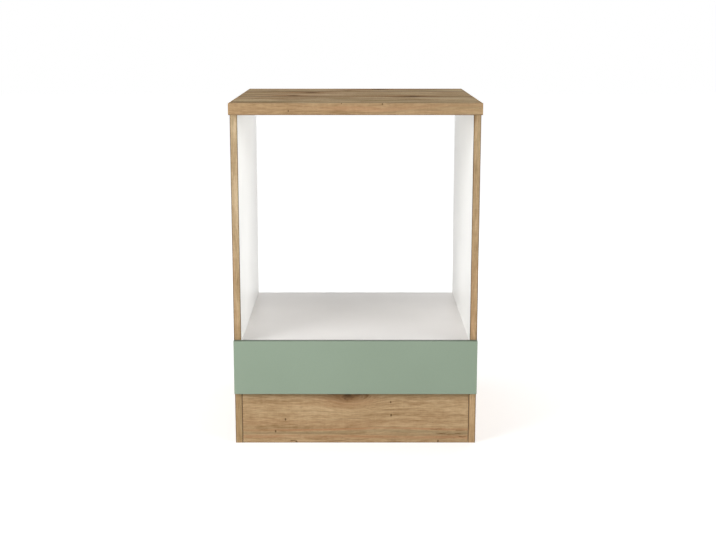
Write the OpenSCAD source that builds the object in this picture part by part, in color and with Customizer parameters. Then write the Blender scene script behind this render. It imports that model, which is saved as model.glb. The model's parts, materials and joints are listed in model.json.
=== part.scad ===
// Cooker base cabinet with an open oven niche, a shallow pan drawer on roller rails and a plinth.
// Millimetres. X runs along the width, the front faces -Y, Z is up, and Z = 0 is the floor.

/* [Cabinet] */
// Width of the carcass, the drawer front and the worktop
cabinet_w = 600; // [500:10:900]
// Depth from the worktop's front edge to the back
cabinet_d = 600; // [590:5:700]
// Height from the floor to the top of the worktop
cabinet_h = 850; // [780:5:950]
// Thickness of the carcass boards and of the plinth panel
board_t = 18; // [16:1:22]
// Height of the plinth panel
plinth_h = 130; // [90:5:180]
// How far the plinth panel stands back from the side panels' front edges
plinth_recess = 0.5; // [0.2:0.1:4]
// Clear height between the bottom panel and the oven shelf
drawer_bay_h = 94; // [92:1:160]

/* [Worktop] */
// Thickness of the worktop
worktop_t = 28; // [25:1:40]
// How far the worktop stands out past the drawer front
worktop_lip = 21; // [8:1:36]
// Thickness of the worktop's edge strips
strip_t = 2; // [1.5:0.1:3]
// Radius of the strips' outer edges
strip_ease = 1.2; // [0.5:0.1:1.4]

/* [Boards] */
// Thickness of the edge bands on the carcass boards
band_t = 1; // [0.6:0.1:2]
// Width of the flat stretcher under the back of the worktop
stretcher_w = 90; // [80:1:140]
// Thickness of the hardboard back panel and of the drawer base
hardboard_t = 3; // [2.5:0.1:5]
// Depth of the grooves that hold the hardboard
groove_depth = 6; // [4:0.5:8]
// Wall of board left behind the back panel's groove
groove_inset = 12; // [8:1:20]

/* [Drawer] */
// Thickness of the drawer front
front_t = 16; // [16:1:22]
// Gap between the drawer front and the carcass edges
front_gap = 1.3; // [0.8:0.1:3]
// How far the drawer front stands up past the oven shelf's top
front_rise = 7; // [0:1:12]
// Gap between the top of the plinth and the drawer front
front_reveal = 2; // [1:0.5:6]
// Radius of the edges round the drawer front's face
front_ease = 1.5; // [0.5:0.1:3]
// Thickness of the drawer's sides and back
drawer_board_t = 12; // [12:0.5:16]
// Height of the drawer's sides
drawer_side_h = 70; // [66:1:76]
// Height of the drawer base above the lower edge of its sides
base_rise = 10; // [8:1:14]
// Length of the drawer's rails that stays in the cabinet when the drawer is pulled out
rail_overlap = 125; // [90:5:200]

/* [Runners] */
// Step between the lengths that the rails come in
rail_step = 50; // [25:5:50]
// Least space behind the rails
rail_room = 20; // [8:1:40]
// Space between a side panel and the drawer's side
runner_space = 12.5; // [12.5:0.1:14]
// Height of the rails above the bottom panel
runner_lift = 6; // [5:0.5:8]
// Thickness of the rails' steel
rail_t = 1.2; // [1:0.1:1.4]
// Radius of the rollers
roller_r = 11.3; // [10.5:0.1:11.8]
// Width of the rollers
roller_w = 6.8; // [5.5:0.1:7]
// Running clearance over and under the rollers
running_gap = 0.3; // [0.2:0.05:0.4]
// Radius of the rollers' rivets
rivet_r = 2.4; // [2:0.1:3]
// Radial clearance of the rollers on their rivets
bore_gap = 0.06; // [0.03:0.01:0.1]
// Height of the tab that stops the drawer's rollers
stop_tab_h = 4; // [3:0.5:6]
// Length of the entry that is open at the top of the cabinet rails
entry_len = 42; // [34:1:60]

/* [Fittings] */
// Radius of the cams in the carcass boards
cam_r = 7.4; // [7:0.1:7.9]
// Radius of the cams in the drawer's sides
small_cam_r = 5.9; // [5.7:0.1:6.4]
// Distance from a board's end to the cam's axis
cam_setback = 24; // [22:1:30]
// Radius of the cam bolts' thread
bolt_r = 2.5; // [2.2:0.1:2.8]
// Length of the cam bolts' thread
bolt_thread = 11; // [8:0.5:12]
// Radius of the carcass dowels
dowel_r = 4; // [3:0.5:4]
// Length of the carcass dowels
dowel_len = 30; // [26:1:35]
// Radius of the drawer dowels
small_dowel_r = 3; // [2.5:0.1:3]
// Length of the drawer dowels
small_dowel_len = 25; // [22:1:30]
// Distance from a board's edge to its first fitting
fitting_inset = 64; // [48:1:90]
// Spacing of a dowel from the cam bolt beside it
fitting_pitch = 32; // [26:1:40]
// Radius of the screws' shanks
screw_r = 1.75; // [1.5:0.05:2]
// Radius of the screws' heads
screw_head_r = 3.4; // [3:0.1:3.5]
// How deep the short screws go into a board
screw_bite = 13; // [9:0.5:14]
// Distance of the stretcher's screws from the side panels
stretcher_screw_inset = 110; // [60:5:180]
// Distance of the worktop angles from the side panels' front edges
angle_setback = 242; // [150:1:300]
// Width of the worktop angles
angle_w = 18; // [14:1:26]
// Length of the legs of the worktop angles
angle_leg = 20; // [16:1:22]
// Thickness of the worktop angles
angle_t = 2; // [1.5:0.1:2.5]
// Size of the plinth blocks' two square sides
block_leg = 20; // [18:1:26]
// Height of the plinth blocks
block_h = 30; // [26:1:40]
// Radius of the bumpers behind the drawer front
bumper_r = 4; // [3:0.5:5]
// Distance of the bumpers from the drawer front's upper and lower edges
bumper_inset = 20; // [10:1:40]

/* [Hidden] */
$fn = 40;
// How far a cutter runs past the face that it opens
eps = 1;
// Radial clearance of dowels, screws, bolts and cams in their bores
fit = 0.05;
// Spare depth at the end of a blind bore or groove
seat = 0.5;
// Side play of a roller between its rivet's shoulder and head
play = 0.2;
// Length of a screw's point and height of a pan head
point_len = 3;
head_h = 2;
// Room round a screw that passes through a piece, and of a sunk bore round its head
through_gap = 0.3;
head_gap = 0.4;
// Distance of a screw from the end of the leg or the block that it holds
screw_edge = 8;
// Pitch of the rail screws' holes, and the first hole from the side panel's front edge
system_pitch = 32;
system_start = 37;

// Levels
carcass_h = cabinet_h - worktop_t;
bay_floor_z = plinth_h + board_t;
bay_roof_z = bay_floor_z + drawer_bay_h;
shelf_top_z = bay_roof_z + board_t;
bottom_mid_z = plinth_h + board_t / 2;
shelf_mid_z = bay_roof_z + board_t / 2;
stretcher_mid_z = carcass_h - board_t / 2;

// Places along the width and the depth
half_w = cabinet_w / 2;
inner_half = half_w - board_t;
top_front_y = -cabinet_d / 2;
front_face_y = top_front_y + worktop_lip;
front_back_y = front_face_y + front_t;
side_front_y = front_back_y + front_gap;
back_y = cabinet_d / 2;

// Hardboard in its grooves
board_play = 0.1;
groove_w = hardboard_t + 2 * board_play;
groove_y = back_y - groove_inset - groove_w;
groove_reach = groove_depth - seat;

// Rails: the longest that fits between the side panels' front edges and the back panel
rail_setback = 2;
rail_front_y = side_front_y + rail_setback;
runner_len = rail_step * floor((groove_y - rail_front_y - rail_room) / rail_step);
drawer_travel = runner_len - rail_overlap;

// Drawer front and drawer box
front_z0 = plinth_h + front_reveal;
front_z1 = shelf_top_z + front_rise;
rail_z = bay_floor_z + runner_lift;
box_half = inner_half - runner_space;
box_inner = box_half - drawer_board_t;
box_mid = box_half - drawer_board_t / 2;
box_z = rail_z + rail_t;
box_top_z = box_z + drawer_side_h;
box_shorter = 5;
box_len = runner_len - box_shorter;
box_back_y = front_back_y + box_len;
base_z = box_z + base_rise;
base_top_z = base_z + board_play + hardboard_t;
bumper_gap = 0.3;
bumper_t = front_gap - bumper_gap;

// Rail section. Its origin is on the side panel's inner face, at the rails' underside
web_x = runner_space - rail_t;
track_gap = 0.7;
track_w = web_x - track_gap;
lip_t = 0.8;
lip_rise = 2;
lip_h = rail_t + lip_rise;
upper_w = 8;
flange_x = 3;
drawer_roller_z = rail_t + running_gap + roller_r;
flange_z = drawer_roller_z + roller_r + 2 * running_gap;
cabinet_roller_z = flange_z - running_gap - roller_r;
flange_gap = 1;
rail_h = flange_z + rail_t + flange_gap + rail_t;

// Rollers across the section and along the rails
shoulder_h = 0.5;
cabinet_roller_x = rail_t + shoulder_h + play;
drawer_roller_x = track_w - lip_t - running_gap - roller_w;
rivet_head_t = 0.6;
rivet_rim = 1.6;
rivet_head_r = rivet_r + rivet_rim;
roller_inset = 14;
cabinet_roller_y = rail_front_y + roller_inset;
rail_end_gap = 0.5;
drawer_rail_y = front_back_y + rail_end_gap;
drawer_rail_len = box_len - 2 * rail_end_gap;
drawer_roller_y = drawer_rail_y + drawer_rail_len - roller_inset;

// The stop tab meets a drawer roller at the end of its travel
stop_rise = roller_r + running_gap - stop_tab_h;
stop_reach = sqrt(pow(roller_r, 2) - pow(stop_rise, 2)) + running_gap;
stop_y = drawer_roller_y - drawer_travel - stop_reach - rail_t;

// Screws of the rails
last_hole = floor((runner_len - 2 * system_start) / system_pitch);
rail_screw_y = [
    for (hole = [0, ceil(last_hole / 2), last_hole])
        side_front_y + system_start + hole * system_pitch
];
rail_screw_z = rail_z + rail_h / 2;
drawer_rail_screw_inset = 50;
drawer_rail_screw_y = [
    drawer_rail_y + drawer_rail_screw_inset,
    drawer_rail_y + drawer_rail_len / 2,
    drawer_rail_y + drawer_rail_len - drawer_rail_screw_inset
];
rail_screw_spare = 1.5;
drawer_rail_bite = base_rise - seat - rail_screw_spare;

// Cam bolts and dowels: each board's height, then the places of its bolts and of its dowels
bolt_y = [side_front_y + fitting_inset, back_y - fitting_inset];
dowel_y = [bolt_y[0] + fitting_pitch, bolt_y[1] - fitting_pitch];
stretcher_bolt_y = back_y - (stretcher_w - fitting_pitch) / 2;
board_joints = [
    [bottom_mid_z, bolt_y, dowel_y],
    [shelf_mid_z, bolt_y, dowel_y],
    [stretcher_mid_z, [stretcher_bolt_y], [stretcher_bolt_y - fitting_pitch]]
];
collar_rim = 1;
collar_gap = 0.3;
cavity_gap = 0.7;
cavity_roof = 0.4;
bolt_collar_r = bolt_r + collar_rim;
bolt_bore_r = bolt_collar_r + collar_gap;
cam_cavity_r = bolt_r + cavity_gap;
cam_above_bolt = cam_cavity_r + cavity_roof;
cam_h = board_t / 2 + cam_above_bolt;
small_cam_h = drawer_board_t / 2 + cam_above_bolt;
cam_flush = 0.2;
wood_past_dowel = 7;
dowel_in_side = board_t - wood_past_dowel;
dowel_in_front = 10;

// Heights of the drawer's joints, from the top of its sides, its base and its rails
drawer_cam_drop = 20;
drawer_dowel_rise = 10;
back_screw_rise = 6;
back_screw_drop = 12;
back_screw_bite = 20;
drawer_cam_z = box_top_z - drawer_cam_drop;
drawer_dowel_z = base_top_z + drawer_dowel_rise;
back_screw_z = [rail_z + rail_h + back_screw_rise, box_top_z - back_screw_drop];
base_screw_pitch = 150;
base_screw_x = [-base_screw_pitch, 0, base_screw_pitch];

// Angles under the worktop, screws of the stretcher and blocks behind the plinth
angle_y = side_front_y + angle_setback;
angle_screw = angle_leg - screw_edge;
stretcher_screw_x = [stretcher_screw_inset - inner_half, inner_half - stretcher_screw_inset];
stretcher_screw_y = back_y - stretcher_w / 2;
plinth_y = side_front_y + plinth_recess;
block_y = plinth_y + board_t;
block_drop = 4;
block_z = plinth_h - block_h - block_drop;
block_floor = 5;
block_screw = block_leg - screw_edge;
block_screw_z = [block_z + screw_edge, block_z + block_h - screw_edge];

oak = [0.70, 0.58, 0.44];
white = [0.94, 0.94, 0.93];
green = [0.60, 0.67, 0.59];
zinc = [0.74, 0.75, 0.76];
beech = [0.86, 0.75, 0.58];
nylon = [0.92, 0.92, 0.90];

// A box given by its two corners
module slab(low, high) {
    translate(low) cube(high - low);
}

// A cylinder that starts at a point and runs along +X
module rod_x(at, r, length) {
    translate(at) rotate([0, 90, 0]) cylinder(r = r, h = length);
}

// A cylinder that starts at a point and runs along +Y
module rod_y(at, r, length) {
    translate(at) rotate([-90, 0, 0]) cylinder(r = r, h = length);
}

// A profile drawn in X and Z, extruded along +Y
module along_y(length) {
    translate([0, length, 0]) rotate([90, 0, 0]) linear_extrude(length) children();
}

// Mirrors what is drawn for the left to the right
module to_right() {
    mirror([1, 0, 0]) children();
}

module both_sides() {
    children();
    to_right() children();
}

// A rectangle whose two corners on the line v = 0 are rounded
module eased_profile(u, v, r) {
    arc = [0 : 15 : 90];
    polygon(concat(
        [for (a = arc) [r - r * cos(a), r - r * sin(a)]],
        [for (a = arc) [u - r + r * sin(a), r - r * cos(a)]],
        [[u, v], [0, v]]
    ));
}

// A board that faces the front, with all four edges of its front face rounded
module eased_board(low, high, r) {
    size = high - low;
    translate(low) intersection() {
        linear_extrude(size[2]) eased_profile(size[0], size[1], r);
        translate([size[0], 0, 0]) rotate([0, -90, 0])
            linear_extrude(size[0]) eased_profile(size[2], size[1], r);
    }
}

// A countersunk screw along -Z whose head ends at Z = 0. Its hole is the same form, grown
module countersunk_screw(length, grow = 0, open = 0) {
    neck = screw_head_r - screw_r;
    rotate_extrude() polygon([
        [0, open], [screw_head_r + grow, open], [screw_head_r + grow, 0],
        [screw_r + grow, -neck], [screw_r + grow, point_len - length],
        [grow, -length - grow], [0, -length - grow]
    ]);
}

// A pan head screw along -Z that clamps a piece of the given thickness below Z = 0
module pan_screw(clamped, bite = screw_bite) {
    length = clamped + bite;
    rotate_extrude() polygon([
        [0, head_h], [screw_head_r / 2, head_h - 0.2], [screw_head_r - 0.4, head_h / 2],
        [screw_head_r, 0], [screw_r, 0], [screw_r, point_len - length], [0, -length]
    ]);
}

// A cam bolt along +X: its thread in -X, its collar on X = 0, and the head in the cam's axis
module cam_bolt() {
    neck_r = bolt_r - 1;
    head_r = bolt_r + 0.2;
    rotate([0, 90, 0]) rotate_extrude() polygon([
        [0, -bolt_thread], [neck_r, -bolt_thread], [bolt_r, 1 - bolt_thread], [bolt_r, 0],
        [bolt_collar_r, 0], [bolt_collar_r, 2], [bolt_r, 3], [bolt_r, cam_setback - 9],
        [neck_r, cam_setback - 8], [neck_r, cam_setback - 3], [head_r, cam_setback - 2.5],
        [head_r, cam_setback + 1], [neck_r, cam_setback + 2], [0, cam_setback + 2]
    ]);
}

// A cam that stands on Z = 0, with a cross recess below. A bolt at the given height comes in
// from -X; the slot that its head was turned in through ends in a round mouth
module cam(r, h, bolt_h) {
    slot_r = bolt_r - 0.6;
    swing = 100;
    difference() {
        cylinder(r = r, h = h);
        translate([0, 0, bolt_h]) {
            rod_x([-3, 0, 0], cam_cavity_r, 6);
            rod_x([-r - eps, 0, 0], slot_r, r + eps);
            rotate([0, 0, 180]) rotate_extrude(angle = swing)
                translate([slot_r, -slot_r]) square([r, 2 * slot_r]);
            rotate([0, 0, swing]) rod_x([-r - eps, 0, 0], cam_cavity_r - 0.2, r + eps);
        }
        for (a = [45, 135]) rotate([0, 0, a])
            slab([-r * 0.6, -0.7, -eps], [r * 0.6, 0.7, 1.6]);
    }
}

// A dowel along +X from X = 0, with chamfered ends
module dowel(r, length) {
    rotate([0, 90, 0]) rotate_extrude() polygon([
        [0, 0], [r - 0.8, 0], [r, 1], [r, length - 1], [r - 0.8, length], [0, length]
    ]);
}

// What is drilled and cut into the left side panel from its inner face
module side_drillings() {
    for (joint = board_joints) {
        for (y = joint[1]) rod_x([-inner_half - bolt_thread - seat, y, joint[0]], bolt_r + fit,
                                 bolt_thread + seat + eps);
        for (y = joint[2]) rod_x([-inner_half - dowel_in_side - seat, y, joint[0]],
                                 dowel_r + fit, dowel_in_side + seat + eps);
    }
    slab([-inner_half - groove_depth, groove_y, bay_floor_z - groove_depth],
         [-inner_half + eps, groove_y + groove_w, bay_roof_z + groove_depth]);
    cabinet_rail_screw_set(fit, eps);
    side_pilot(angle_y + angle_w / 2, carcass_h - angle_screw);
    side_pilot(block_y + block_screw, block_screw_z[0]);
}

module side_pilot(y, z) {
    rod_x([-inner_half - screw_bite - seat, y, z], screw_r + fit, screw_bite + seat + eps);
}

module side_panel() {
    difference() {
        slab([-half_w, side_front_y + band_t, 0], [-inner_half, back_y, carcass_h]);
        side_drillings();
    }
}

module side_edge() {
    slab([-half_w, side_front_y, 0], [-inner_half, side_front_y + band_t, carcass_h]);
}

module left_side_panel() {
    color(oak) side_panel();
}

module right_side_panel() {
    color(oak) to_right() side_panel();
}

module left_side_edge() {
    color(oak) side_edge();
}

module right_side_edge() {
    color(oak) to_right() side_edge();
}

// A board between the side panels, with bolt bores and dowel holes in its ends and cams below
module joined_board(front_y, joint) {
    z0 = joint[0] - board_t / 2;
    difference() {
        slab([-inner_half, front_y, z0], [inner_half, back_y, z0 + board_t]);
        both_sides() {
            for (y = joint[1]) {
                rod_x([-inner_half - eps, y, joint[0]], bolt_bore_r, cam_setback + eps);
                translate([cam_setback - inner_half, y, z0 - eps])
                    cylinder(r = cam_r + fit, h = eps + cam_flush + cam_h + seat);
            }
            for (y = joint[2])
                rod_x([-inner_half - eps, y, joint[0]], dowel_r + fit,
                      eps + dowel_len - dowel_in_side + seat);
        }
    }
}

// The groove for the hardboard back across a board, between two heights
module back_groove(z0, z1) {
    slab([-inner_half - eps, groove_y, z0], [inner_half + eps, groove_y + groove_w, z1]);
}

module bottom_panel() {
    color(white) difference() {
        joined_board(side_front_y + band_t, board_joints[0]);
        back_groove(bay_floor_z - groove_depth, bay_floor_z + eps);
    }
}

module oven_shelf() {
    color(white) difference() {
        joined_board(side_front_y + band_t, board_joints[1]);
        back_groove(bay_roof_z - eps, bay_roof_z + groove_depth);
    }
}

module rear_stretcher() {
    color(white) difference() {
        joined_board(back_y - stretcher_w, board_joints[2]);
        stretcher_screw_set(fit, eps);
    }
}

// The white band on the front of a board that stands between the side panels
module board_edge(z0) {
    slab([-inner_half, side_front_y, z0], [inner_half, side_front_y + band_t, z0 + board_t]);
}

module bottom_edge() {
    color(white) board_edge(plinth_h);
}

module shelf_edge() {
    color(white) board_edge(bay_roof_z);
}

module lower_back_panel() {
    y0 = groove_y + board_play;
    color(white) slab([-inner_half - groove_reach, y0, bay_floor_z - groove_reach],
                      [inner_half + groove_reach, y0 + hardboard_t, bay_roof_z + groove_reach]);
}

module plinth_panel() {
    side_gap = 0.3;
    color(oak) difference() {
        slab([side_gap - inner_half, plinth_y, 0], [inner_half - side_gap, block_y, plinth_h]);
        both_sides() rod_y([block_screw - inner_half, block_y - screw_bite - seat,
                            block_screw_z[1]], screw_r + fit, screw_bite + seat + eps);
    }
}

// Corner blocks behind the plinth, with counterbores for their screws on the sloping side
module plinth_blocks() {
    nose = 4;
    color(nylon) both_sides() difference() {
        translate([-inner_half, block_y, block_z]) linear_extrude(block_h) polygon([
            [0, 0], [block_leg, 0], [block_leg, nose], [nose, block_leg], [0, block_leg]
        ]);
        for (cut = [[0, screw_r + through_gap], [block_floor + eps, screw_head_r + head_gap]]) {
            rod_x([-inner_half - eps + cut[0], block_y + block_screw, block_screw_z[0]],
                  cut[1], block_leg + 2 * eps);
            rod_y([block_screw - inner_half, block_y - eps + cut[0], block_screw_z[1]],
                  cut[1], block_leg + 2 * eps);
        }
    }
}

module plinth_block_screws() {
    color(zinc) both_sides() {
        translate([block_floor - inner_half, block_y + block_screw, block_screw_z[0]])
            rotate([0, 90, 0]) pan_screw(block_floor);
        translate([block_screw - inner_half, block_y + block_floor, block_screw_z[1]])
            rotate([-90, 0, 0]) pan_screw(block_floor);
    }
}

module worktop() {
    pilot_x = inner_half - angle_screw;
    color(oak) difference() {
        slab([strip_t - half_w, top_front_y + strip_t, carcass_h],
             [half_w - strip_t, back_y, cabinet_h]);
        stretcher_screw_set(fit, eps);
        for (x = [-pilot_x, pilot_x]) translate([x, angle_y + angle_w / 2, carcass_h - eps])
            cylinder(r = screw_r + fit, h = eps + screw_bite + seat);
    }
}

module worktop_front_strip() {
    color(oak) eased_board([-half_w, top_front_y, carcass_h],
                           [half_w, top_front_y + strip_t, cabinet_h], strip_ease);
}

module worktop_side_strips() {
    color(oak) both_sides() translate([-half_w, top_front_y + strip_t, carcass_h])
        along_y(cabinet_d - strip_t)
            rotate([0, 0, 90]) mirror([0, 1, 0]) eased_profile(worktop_t, strip_t, strip_ease);
}

// Bent steel angles: one leg on the side panel, the other under the worktop
module worktop_angles() {
    bend = angle_t + 2;
    mid_y = angle_y + angle_w / 2;
    color(zinc) both_sides() difference() {
        translate([-inner_half, angle_y, carcass_h]) along_y(angle_w) polygon([
            [0, 0], [angle_leg, 0], [angle_leg, -angle_t], [bend, -angle_t],
            [angle_t, -bend], [angle_t, -angle_leg], [0, -angle_leg]
        ]);
        rod_x([-inner_half - eps, mid_y, carcass_h - angle_screw], screw_r + through_gap,
              angle_t + 2 * eps);
        translate([angle_screw - inner_half, mid_y, carcass_h - angle_t - eps])
            cylinder(r = screw_r + through_gap, h = angle_t + 2 * eps);
    }
}

module worktop_angle_screws() {
    mid_y = angle_y + angle_w / 2;
    color(zinc) both_sides() {
        translate([angle_t - inner_half, mid_y, carcass_h - angle_screw])
            rotate([0, 90, 0]) pan_screw(angle_t);
        translate([angle_screw - inner_half, mid_y, carcass_h - angle_t])
            rotate([180, 0, 0]) pan_screw(angle_t);
    }
}

// The screws up through the stretcher into the worktop, or their holes
module stretcher_screw_set(grow = 0, open = 0) {
    for (x = stretcher_screw_x)
        translate([x, stretcher_screw_y, carcass_h - board_t]) rotate([180, 0, 0])
            countersunk_screw(board_t + screw_bite, grow, open);
}

module stretcher_screws() {
    color(zinc) stretcher_screw_set();
}

module carcass_cams() {
    color(zinc) both_sides() for (joint = board_joints, y = joint[1])
        translate([cam_setback - inner_half, y, joint[0] - board_t / 2 + cam_flush])
            cam(cam_r, cam_h, board_t / 2 - cam_flush);
}

module carcass_cam_bolts() {
    color(zinc) both_sides() for (joint = board_joints, y = joint[1])
        translate([-inner_half, y, joint[0]]) cam_bolt();
}

module carcass_dowels() {
    color(beech) both_sides() for (joint = board_joints, y = joint[2])
        translate([-inner_half - dowel_in_side, y, joint[0]]) dowel(dowel_r, dowel_len);
}

// The left cabinet rail: a channel with a track, a side lip and a stop tab bent up from the
// track, open at the top of its front end
module cabinet_rail() {
    tab_y = stop_y - rail_front_y;
    tab_x = [rail_t + 1, track_w - lip_t - 1];
    difference() {
        translate([-inner_half, rail_front_y, rail_z]) difference() {
            union() {
                along_y(runner_len) polygon([
                    [0, 0], [track_w, 0], [track_w, lip_h], [track_w - lip_t, lip_h],
                    [track_w - lip_t, rail_t], [rail_t, rail_t], [rail_t, rail_h - rail_t],
                    [upper_w, rail_h - rail_t], [upper_w, rail_h], [0, rail_h]
                ]);
                slab([tab_x[0], tab_y, rail_t / 2], [tab_x[1], tab_y + rail_t,
                      rail_t + stop_tab_h]);
            }
            slab([rail_t, -eps, rail_h - rail_t - eps], [upper_w + eps, entry_len, rail_h + eps]);
            slab([tab_x[0], tab_y - stop_tab_h, -eps], [tab_x[1], tab_y, rail_t + eps]);
        }
        cabinet_rail_screw_set(fit, eps);
        cabinet_rivet(fit, eps);
    }
}

// The screws of the left cabinet rail, or their holes, with their heads flush in the steel
module cabinet_rail_screw_set(grow = 0, open = 0) {
    for (y = rail_screw_y) translate([rail_t - inner_half, y, rail_screw_z])
        rotate([0, 90, 0]) countersunk_screw(rail_t + screw_bite - 1, grow, open);
}

// A rivet along +X from X = 0: the end in the rail, the shoulder, the pin and the head.
// Its hole is the end alone, grown
module rivet(shoulder_end, grow = 0, open = 0) {
    head_x = shoulder_end + play + roller_w + play;
    pin = [
        [0, 0], [rivet_r, 0], [rivet_r, rail_t], [rivet_head_r, rail_t],
        [rivet_head_r, shoulder_end], [rivet_r, shoulder_end], [rivet_r, head_x],
        [rivet_head_r, head_x], [rivet_head_r - 0.3, head_x + rivet_head_t],
        [0, head_x + rivet_head_t]
    ];
    hole = [
        [0, -open], [rivet_r + grow, -open], [rivet_r + grow, rail_t + open],
        [0, rail_t + open]
    ];
    rotate([0, 90, 0]) rotate_extrude() polygon(grow > 0 ? hole : pin);
}

module cabinet_rivet(grow = 0, open = 0) {
    translate([-inner_half, cabinet_roller_y, rail_z + cabinet_roller_z])
        rivet(cabinet_roller_x - play, grow, open);
}

// The drawer rail's rivet starts on the drawer's side and points to the cabinet rail
module drawer_rivet(grow = 0, open = 0) {
    translate([runner_space - inner_half, drawer_roller_y, rail_z + drawer_roller_z])
        mirror([1, 0, 0])
            rivet(runner_space - drawer_roller_x - roller_w - play, grow, open);
}

// A nylon roller along +X from X = 0, with a hub and dished faces
module roller() {
    bore = rivet_r + bore_gap;
    hub = rivet_head_r + 0.5;
    dish = 1;
    ease = 0.6;
    rotate([0, 90, 0]) rotate_extrude() polygon([
        [bore, 0], [hub, 0], [hub + 0.4, dish], [roller_r - 2.8, dish], [roller_r - 2.4, 0],
        [roller_r - ease, 0], [roller_r, ease], [roller_r, roller_w - ease],
        [roller_r - ease, roller_w], [roller_r - 2.4, roller_w],
        [roller_r - 2.8, roller_w - dish], [hub + 0.4, roller_w - dish], [hub, roller_w],
        [bore, roller_w]
    ]);
}

module cabinet_roller() {
    translate([cabinet_roller_x - inner_half, cabinet_roller_y, rail_z + cabinet_roller_z])
        roller();
}

module drawer_roller() {
    translate([drawer_roller_x - inner_half, drawer_roller_y, rail_z + drawer_roller_z])
        roller();
}

module left_cabinet_rail() {
    color(nylon) cabinet_rail();
}

module right_cabinet_rail() {
    color(nylon) to_right() cabinet_rail();
}

module cabinet_rail_screws() {
    color(zinc) both_sides() cabinet_rail_screw_set();
}

module cabinet_roller_rivets() {
    color(zinc) both_sides() cabinet_rivet();
}

module left_cabinet_roller() {
    color(nylon) cabinet_roller();
}

module right_cabinet_roller() {
    color(nylon) to_right() cabinet_roller();
}

// The left drawer rail: a flange under the drawer's side, a web beside it and a flange on top
// that runs over the cabinet's roller
module drawer_rail() {
    difference() {
        translate([-inner_half, drawer_rail_y, rail_z]) along_y(drawer_rail_len) polygon([
            [web_x, 0], [runner_space + drawer_board_t, 0],
            [runner_space + drawer_board_t, rail_t], [runner_space, rail_t],
            [runner_space, flange_z + rail_t], [flange_x, flange_z + rail_t],
            [flange_x, flange_z], [web_x, flange_z]
        ]);
        drawer_rivet(fit, eps);
        for (y = drawer_rail_screw_y) translate([-box_mid, y, rail_z - eps])
            cylinder(r = screw_r + through_gap, h = rail_t + 2 * eps);
    }
}

module left_drawer_rail() {
    color(nylon) drawer_rail();
}

module right_drawer_rail() {
    color(nylon) to_right() drawer_rail();
}

module drawer_rail_screws() {
    color(zinc) both_sides() for (y = drawer_rail_screw_y)
        translate([-box_mid, y, rail_z]) rotate([180, 0, 0])
            pan_screw(rail_t, drawer_rail_bite);
}

module drawer_roller_rivets() {
    color(zinc) both_sides() drawer_rivet();
}

module left_drawer_roller() {
    color(nylon) drawer_roller();
}

module right_drawer_roller() {
    color(nylon) to_right() drawer_roller();
}

// The groove for the drawer base, in the drawer's sides and in its front
module base_groove() {
    reach = box_inner + groove_depth;
    slab([-reach, front_back_y - groove_depth, base_z],
         [reach, box_back_y + eps, base_z + groove_w]);
}

module drawer_front() {
    color(green) difference() {
        eased_board([-half_w, front_face_y, front_z0], [half_w, front_back_y, front_z1],
                    front_ease);
        base_groove();
        both_sides() {
            rod_y([-box_mid, front_back_y - bolt_thread - seat, drawer_cam_z], bolt_r + fit,
                  bolt_thread + seat + eps);
            rod_y([-box_mid, front_back_y - dowel_in_front - seat, drawer_dowel_z],
                  small_dowel_r + fit, dowel_in_front + seat + eps);
        }
    }
}

module drawer_side() {
    difference() {
        slab([-box_half, front_back_y, box_z], [-box_inner, box_back_y, box_top_z]);
        base_groove();
        rod_y([-box_mid, front_back_y - eps, drawer_cam_z], bolt_bore_r, cam_setback + eps);
        rod_x([-box_inner - cam_flush - small_cam_h - seat, front_back_y + cam_setback,
               drawer_cam_z], small_cam_r + fit, cam_flush + small_cam_h + seat + eps);
        rod_y([-box_mid, front_back_y - eps, drawer_dowel_z], small_dowel_r + fit,
              eps + small_dowel_len - dowel_in_front + seat);
        drawer_back_screw_set(fit, eps);
        for (y = drawer_rail_screw_y) translate([-box_mid, y, box_z - eps])
            cylinder(r = screw_r + fit, h = eps + drawer_rail_bite + seat);
    }
}

module drawer_left_side() {
    color(white) drawer_side();
}

module drawer_right_side() {
    color(white) to_right() drawer_side();
}

module drawer_back() {
    color(white) difference() {
        slab([-box_inner, box_back_y - drawer_board_t, base_top_z],
             [box_inner, box_back_y, box_top_z]);
        both_sides() drawer_back_screw_set(fit, eps);
        for (x = base_screw_x) translate([x, box_back_y - drawer_board_t / 2, base_top_z - eps])
            cylinder(r = screw_r + fit, h = eps + screw_bite + seat);
    }
}

module drawer_base() {
    reach = box_inner + groove_reach;
    color(white) difference() {
        slab([-reach, front_back_y - groove_reach, base_top_z - hardboard_t],
             [reach, box_back_y, base_top_z]);
        for (x = base_screw_x) translate([x, box_back_y - drawer_board_t / 2, base_z - eps])
            cylinder(r = screw_r + through_gap, h = hardboard_t + 2 * eps);
    }
}

// The screws through the left side of the drawer into its back, or their holes
module drawer_back_screw_set(grow = 0, open = 0) {
    for (z = back_screw_z) translate([-box_half, box_back_y - drawer_board_t / 2, z])
        rotate([0, -90, 0]) countersunk_screw(drawer_board_t + back_screw_bite, grow, open);
}

module drawer_cams() {
    color(zinc) both_sides()
        translate([-box_inner - cam_flush, front_back_y + cam_setback, drawer_cam_z])
            rotate([-90, 0, 0]) rotate([0, -90, 0])
                cam(small_cam_r, small_cam_h, drawer_board_t / 2 - cam_flush);
}

module drawer_cam_bolts() {
    color(zinc) both_sides() translate([-box_mid, front_back_y, drawer_cam_z])
        rotate([0, 0, 90]) cam_bolt();
}

module drawer_dowels() {
    color(beech) both_sides()
        translate([-box_mid, front_back_y - dowel_in_front, drawer_dowel_z])
            rotate([0, 0, 90]) dowel(small_dowel_r, small_dowel_len);
}

module drawer_back_screws() {
    color(zinc) both_sides() drawer_back_screw_set();
}

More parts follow.
